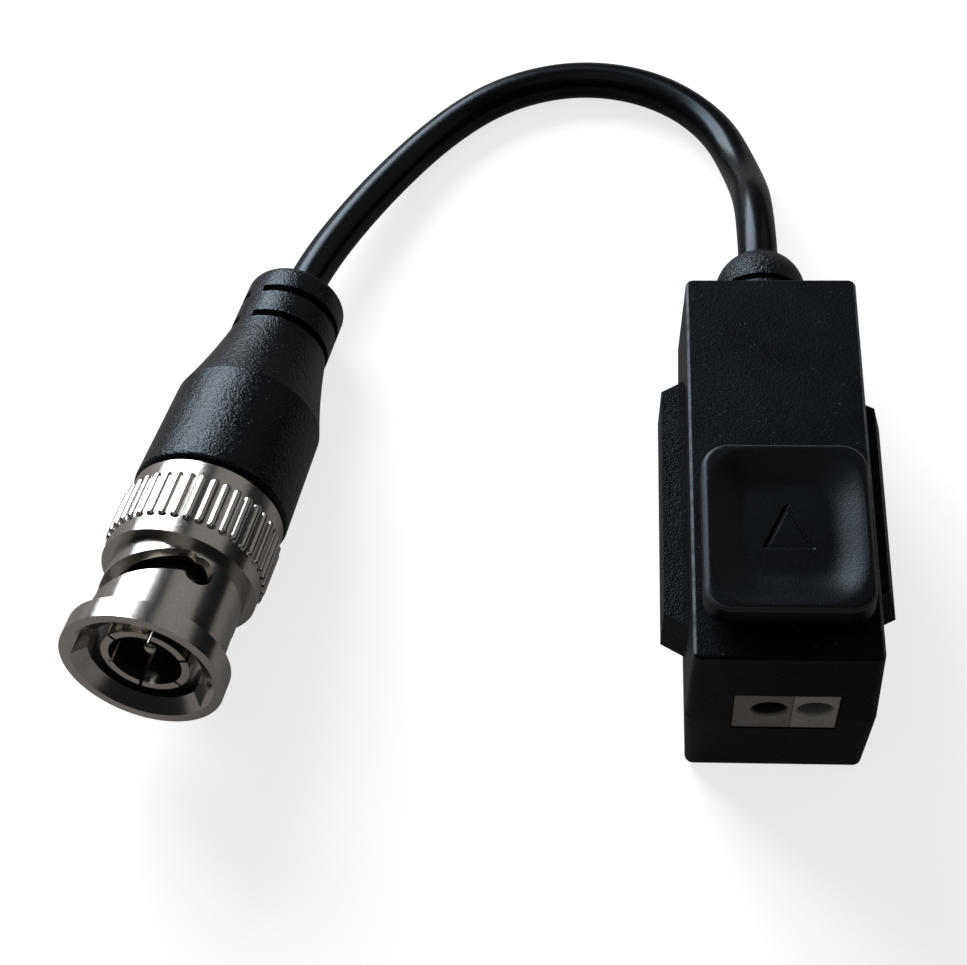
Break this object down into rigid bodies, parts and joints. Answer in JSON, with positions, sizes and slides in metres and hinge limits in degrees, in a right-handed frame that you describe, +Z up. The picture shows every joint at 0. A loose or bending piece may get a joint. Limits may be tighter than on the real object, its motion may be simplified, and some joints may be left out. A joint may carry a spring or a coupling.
{
  "type": "video balun",
  "caption": "Small video balun: two-shell housing with a push button over two wire terminals and a short coaxial lead ending in a booted bayonet plug.",
  "frame": {"origin": "middle of the housing's underside", "axes": "+Z up, terminals face -Y, the lead leaves toward +Y, the plug lies on the -X side"},
  "size_m": [0.0726, 0.0835, 0.0239],
  "materials": {
    "housing_plastic": "fine spark-eroded matt black",
    "left_pole_plastic": "matt brownish grey",
    "right_pole_plastic": "matt light grey",
    "spring_steel": "plain rolled strip",
    "tinned_copper": "tin plated",
    "board_laminate": "green solder mask",
    "ferrite": "sintered, matt",
    "winding_wire": "enamelled copper",
    "ceramic": "glazed",
    "relief_rubber": "coarse moulded texture",
    "boot_rubber": "leathery moulded texture",
    "cord_jacket": "satin extruded jacket",
    "dielectric": "smooth",
    "nickel": "bright nickel plate",
    "contact_plate": "bright plate",
    "gasket_rubber": "smooth silicone"
  },
  "bodies": {
    "housing": {"upper_shell": "housing_plastic", "lower_shell": "housing_plastic", "left_terminal": "left_pole_plastic", "right_terminal": "right_pole_plastic", "left_contact": "tinned_copper", "right_contact": "tinned_copper", "left_clamp_spring": "spring_steel", "right_clamp_spring": "spring_steel", "circuit_board": "board_laminate", "balun_core": "ferrite", "balun_winding": "winding_wire", "surge_arrester": "ceramic", "disc_capacitor": "ceramic", "chip_resistors": "ceramic", "strain_relief": "relief_rubber", "cable_end": "cord_jacket", "centre_wire": "tinned_copper", "braid_wire": "tinned_copper", "plug_body": "nickel", "outer_contact": "contact_plate", "insulator": "dielectric", "centre_pin": "contact_plate", "gasket": "gasket_rubber", "wave_washer": "spring_steel", "crimp_ferrule": "nickel", "plug_cable_end": "cord_jacket", "plug_boot": "boot_rubber", "cord": "cord_jacket", "cord_core": "tinned_copper"},
    "button": {"press_button": "housing_plastic"},
    "nut_float": {"thrust_washer": "spring_steel"},
    "nut": {"coupling_nut": "nickel", "retaining_ring": "spring_steel"}
  },
  "joints": [
    {"name": "button_press", "type": "slide", "parent": "housing", "child": "button", "axis": [0, 0, -1], "range_m": [0, 0.0013], "stiffness_N_per_m": 1500, "springref_m": -0.0005, "deforming": ["left_clamp_spring", "right_clamp_spring"]},
    {"name": "nut_float_slide", "type": "slide", "parent": "housing", "child": "nut_float", "axis": [-0.1823, -0.974, 0.1344], "range_m": [0, 0.0005], "stiffness_N_per_m": 10000, "springref_m": -0.0003, "deforming": ["wave_washer"]},
    {"name": "nut_turn", "type": "hinge", "parent": "nut_float", "child": "nut", "pos_m": [-0.05487, -0.0167, 0.0112], "axis": [0.1823, 0.974, -0.1344], "continuous": true}
  ]
}
